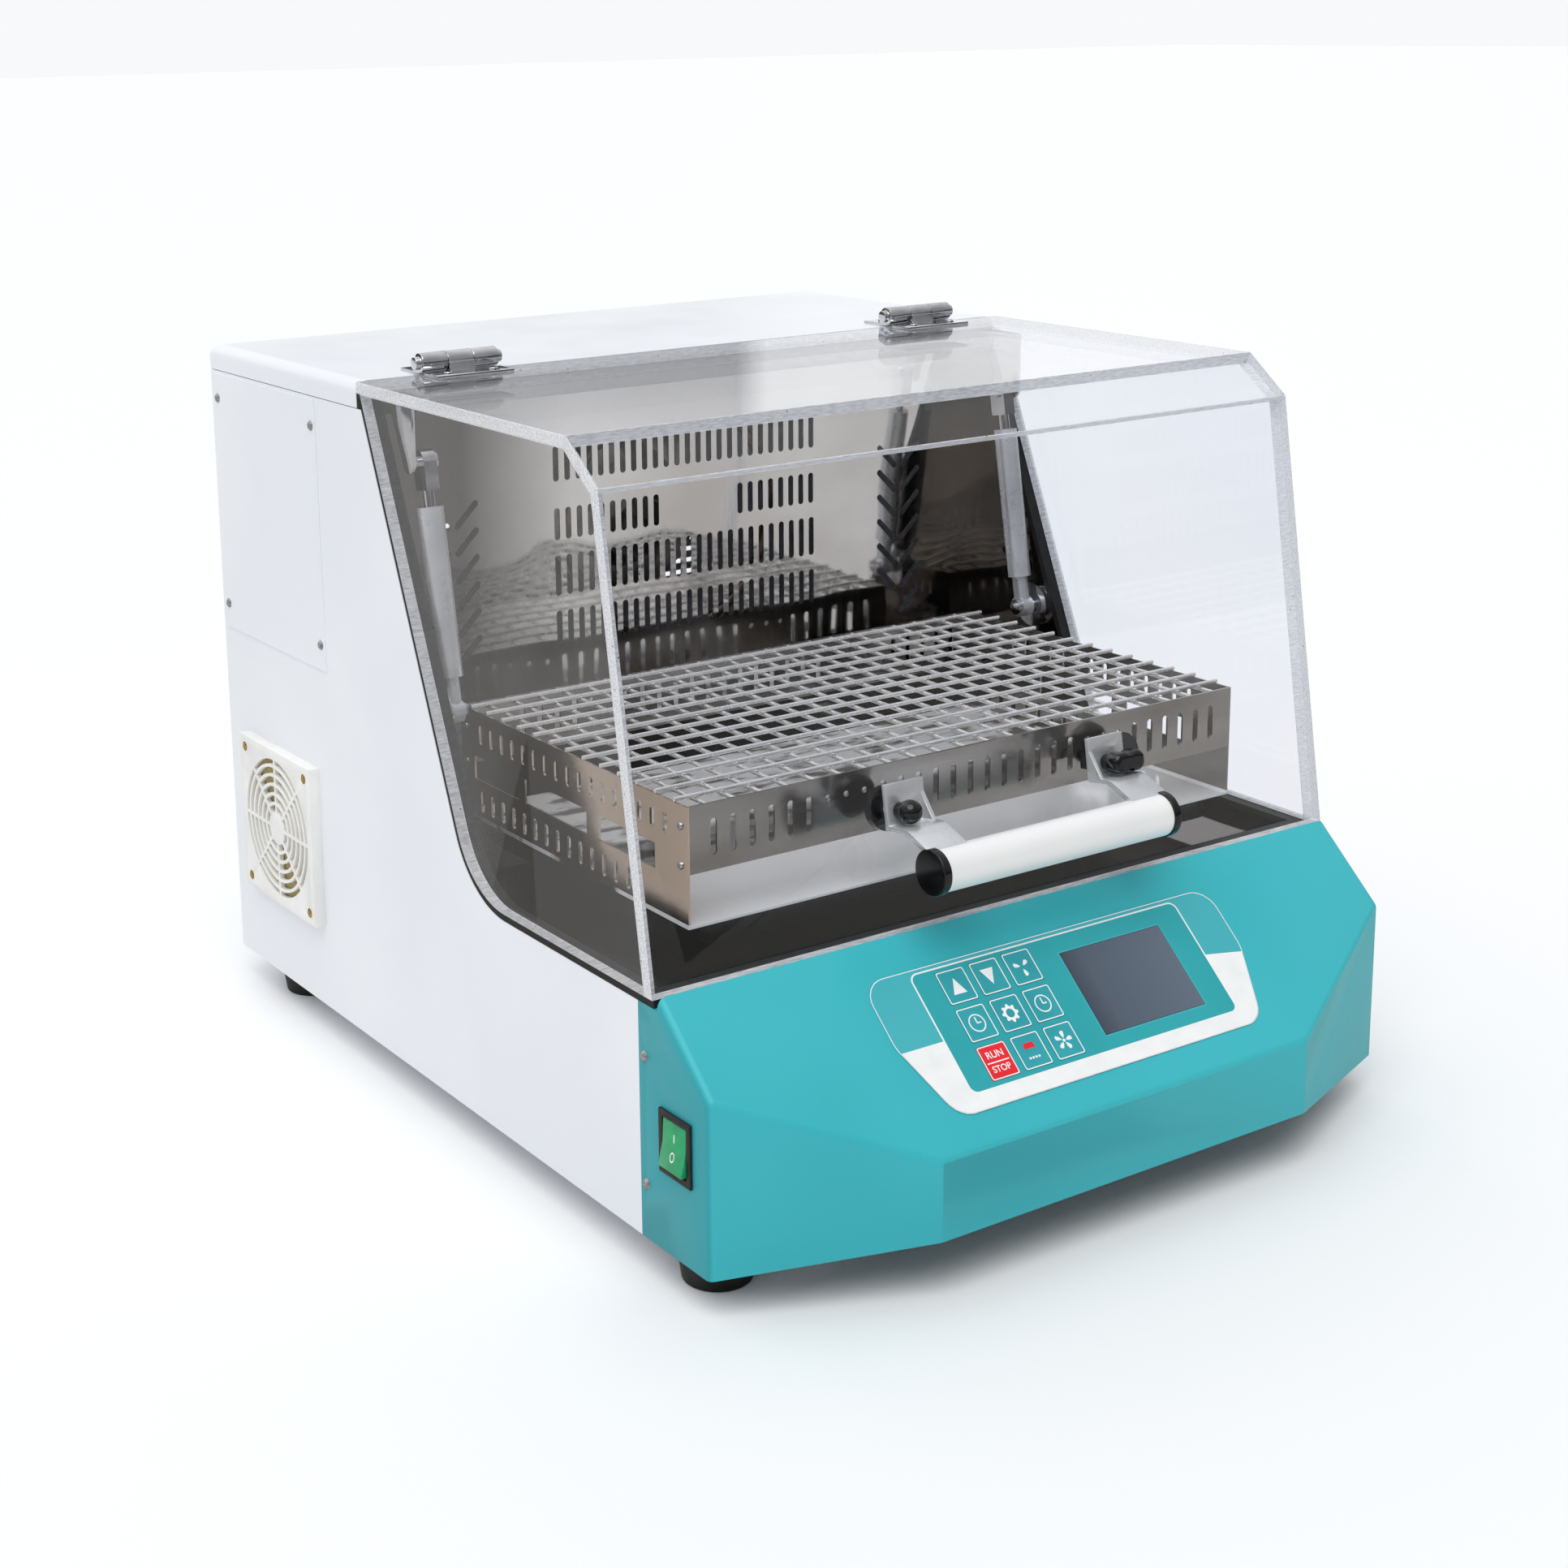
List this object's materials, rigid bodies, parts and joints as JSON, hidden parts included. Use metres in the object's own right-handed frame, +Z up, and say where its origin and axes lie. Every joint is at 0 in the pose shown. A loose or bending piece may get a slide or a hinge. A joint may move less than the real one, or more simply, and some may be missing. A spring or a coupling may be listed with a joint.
{
  "type": "incubated benchtop shaker",
  "caption": "Heated benchtop shaker: white steel cabinet with a teal control panel, a clear hinged hood on gas springs and a perforated tray that orbits inside.",
  "frame": {"origin": "centre of the bounding box's footprint, on the bench under the feet", "axes": "+Z up, -Y towards the control panel and the user, +X to the user's right"},
  "size_m": [0.5792, 0.731, 0.527],
  "materials": {
    "white_paint": "smooth semi-gloss powder coat on folded steel sheet",
    "teal_moulding": "satin teal moulded cover",
    "guard_plastic": "off-white moulding",
    "filter_mat": "khaki open filter mat",
    "black_plastic": "black moulding",
    "gloss_black": "polished black moulding",
    "mirror_steel": "mirror-polished stainless sheet",
    "stainless": "bright stainless sheet",
    "acrylic": "clear acrylic sheet with polished edges",
    "gasket_rubber": "black rubber profile",
    "foot_rubber": "black rubber",
    "bright_chrome": "chrome plate",
    "anodised": "silver anodised aluminium",
    "brass_screw": "yellow zinc or brass screws",
    "steel_screw": "zinc-plated screws",
    "overlay_film": "printed film",
    "key_film": "printed key cap",
    "red_key": "printed red key cap",
    "display_slate": "slate display window on its board",
    "machined_steel": "turned and ground steel",
    "cast_plate": "machined aluminium plate",
    "motor_steel": "black painted motor case",
    "belt_rubber": "toothed drive belt",
    "heater_sheath": "heat-tinted sheath"
  },
  "bodies": {
    "cabinet": {"base_pan": "white_paint", "side_panel_left": "white_paint", "side_panel_right": "white_paint", "top_cover": "white_paint", "rear_panel": "white_paint", "front_cover": "teal_moulding", "access_panel": "white_paint", "case_screws": "steel_screw", "fan_guard": "guard_plastic", "fan_guard_screws": "brass_screw", "fan_filter": "filter_mat", "fan_frame": "black_plastic", "chamber_rear_wall": "mirror_steel", "chamber_sides": "mirror_steel", "chamber_floor": "mirror_steel", "lid_gasket": "gasket_rubber", "hinge_fixed_leaves": "bright_chrome", "spring_wall_mounts": "stainless", "drive_motor": "motor_steel", "drive_belt": "belt_rubber", "bearing_plate": "cast_plate", "heater": "heater_sheath", "blower_motor": "motor_steel", "control_overlay": "overlay_film", "display_board": "display_slate", "rocker_bezel": "black_plastic", "power_inlet": "black_plastic", "feet": "foot_rubber"},
    "hood": {"hood_top": "acrylic", "hood_chamfer": "acrylic", "hood_front": "acrylic", "hood_sides": "acrylic", "hinge_moving_leaves": "bright_chrome", "hood_brackets": "stainless", "handle_tube": "anodised", "handle_brackets": "anodised", "handle_end_caps": "gloss_black"},
    "left_knob": {"knob_left": "gloss_black"},
    "right_knob": {"knob_right": "gloss_black"},
    "spring_tubes": {"gas_spring_tubes": "anodised"},
    "spring_rods": {"gas_spring_rods": "bright_chrome"},
    "drive_shaft": {"eccentric_shaft_drive": "machined_steel"},
    "left_shaft": {"eccentric_shaft_left": "machined_steel"},
    "right_shaft": {"eccentric_shaft_right": "machined_steel"},
    "motor_rotor": {"motor_pulley": "machined_steel"},
    "tray": {"shaker_platform": "gloss_black", "tray_frame": "stainless", "tray_wires": "stainless"},
    "cooling_rotor": {"fan_rotor": "black_plastic"},
    "blower_rotor": {"blower_wheel": "stainless"},
    "rocker": {"power_rocker": "gloss_black"},
    "key_up_button": {"key_up": "key_film"},
    "key_down_button": {"key_down": "key_film"},
    "key_light_button": {"key_light": "key_film"},
    "key_timer_button": {"key_timer": "key_film"},
    "key_settings_button": {"key_settings": "key_film"},
    "key_clock_button": {"key_clock": "key_film"},
    "key_run_stop_button": {"key_run_stop": "red_key"},
    "key_record_button": {"key_record": "red_key"},
    "key_fan_button": {"key_fan": "key_film"}
  },
  "joints": [
    {"name": "hood_hinge", "type": "hinge", "parent": "cabinet", "child": "hood", "pos_m": [0.00413, 0.1115, 0.52], "axis": [-1, 0, 0], "range_deg": [0, 60]},
    {"name": "left_knob_turn", "type": "hinge", "parent": "hood", "child": "left_knob", "pos_m": [-0.08687, -0.2398, 0.2615], "axis": [0, -0.9871, 0.1603], "continuous": true},
    {"name": "right_knob_turn", "type": "hinge", "parent": "hood", "child": "right_knob", "pos_m": [0.08862, -0.2398, 0.2615], "axis": [0, -0.9871, 0.1603], "range_deg": [0, 90]},
    {"name": "gas_spring_swing", "type": "hinge", "parent": "cabinet", "child": "spring_tubes", "pos_m": [0.00413, 0.0379, 0.29], "axis": [1, 0, 0], "range_deg": [0, 10]},
    {"name": "gas_spring_stroke", "type": "slide", "parent": "spring_tubes", "child": "spring_rods", "axis": [0, 0.1715, 0.9852], "range_m": [0, 0.066]},
    {"name": "drive_spin", "type": "hinge", "parent": "cabinet", "child": "drive_shaft", "pos_m": [0.00413, 0.0055, 0.125], "axis": [0, 0, 1], "continuous": true},
    {"name": "tray_orbit", "type": "hinge", "parent": "drive_shaft", "child": "tray", "pos_m": [0.00413, -0.0045, 0.185], "axis": [0, 0, 1], "continuous": true},
    {"name": "left_shaft_spin", "type": "hinge", "parent": "cabinet", "child": "left_shaft", "pos_m": [-0.13587, -0.1285, 0.125], "axis": [0, 0, 1], "continuous": true},
    {"name": "right_shaft_spin", "type": "hinge", "parent": "cabinet", "child": "right_shaft", "pos_m": [0.14413, -0.1285, 0.125], "axis": [0, 0, 1], "continuous": true},
    {"name": "motor_spin", "type": "hinge", "parent": "cabinet", "child": "motor_rotor", "pos_m": [-0.14588, 0.0315, 0.105], "axis": [0, 0, 1], "continuous": true},
    {"name": "cooling_fan_spin", "type": "hinge", "parent": "cabinet", "child": "cooling_rotor", "pos_m": [-0.26587, 0.2625, 0.152], "axis": [1, 0, 0], "continuous": true},
    {"name": "blower_spin", "type": "hinge", "parent": "cabinet", "child": "blower_rotor", "pos_m": [0.00413, 0.2415, 0.375], "axis": [0, 1, 0], "continuous": true},
    {"name": "rocker_tilt", "type": "hinge", "parent": "cabinet", "child": "rocker", "pos_m": [-0.27687, -0.2755, 0.098], "axis": [0, -1, 0], "range_deg": [0, 16]},
    {"name": "key_up_press", "type": "slide", "parent": "cabinet", "child": "key_up_button", "axis": [0, 0.6648, -0.747], "range_m": [0, 0.0004], "stiffness_N_per_m": 2500},
    {"name": "key_down_press", "type": "slide", "parent": "cabinet", "child": "key_down_button", "axis": [0, 0.6648, -0.747], "range_m": [0, 0.0004], "stiffness_N_per_m": 2500},
    {"name": "key_light_press", "type": "slide", "parent": "cabinet", "child": "key_light_button", "axis": [0, 0.6648, -0.747], "range_m": [0, 0.0004], "stiffness_N_per_m": 2500},
    {"name": "key_timer_press", "type": "slide", "parent": "cabinet", "child": "key_timer_button", "axis": [0, 0.6648, -0.747], "range_m": [0, 0.0004], "stiffness_N_per_m": 2500},
    {"name": "key_settings_press", "type": "slide", "parent": "cabinet", "child": "key_settings_button", "axis": [0, 0.6648, -0.747], "range_m": [0, 0.0004], "stiffness_N_per_m": 2500},
    {"name": "key_clock_press", "type": "slide", "parent": "cabinet", "child": "key_clock_button", "axis": [0, 0.6648, -0.747], "range_m": [0, 0.0004], "stiffness_N_per_m": 2500},
    {"name": "key_run_stop_press", "type": "slide", "parent": "cabinet", "child": "key_run_stop_button", "axis": [0, 0.6648, -0.747], "range_m": [0, 0.0004], "stiffness_N_per_m": 2500},
    {"name": "key_record_press", "type": "slide", "parent": "cabinet", "child": "key_record_button", "axis": [0, 0.6648, -0.747], "range_m": [0, 0.0004], "stiffness_N_per_m": 2500},
    {"name": "key_fan_press", "type": "slide", "parent": "cabinet", "child": "key_fan_button", "axis": [0, 0.6648, -0.747], "range_m": [0, 0.0004], "stiffness_N_per_m": 2500}
  ],
  "couplings": [
    {"joint": "gas_spring_swing", "follows": "hood_hinge", "ratio": 0.16607},
    {"joint": "gas_spring_stroke", "follows": "hood_hinge", "m_per_rad": 0.062593},
    {"joint": "tray_orbit", "follows": "drive_spin", "ratio": -1},
    {"joint": "left_shaft_spin", "follows": "drive_spin", "ratio": 1},
    {"joint": "right_shaft_spin", "follows": "drive_spin", "ratio": 1},
    {"joint": "motor_spin", "follows": "drive_spin", "ratio": 2.6}
  ]
}
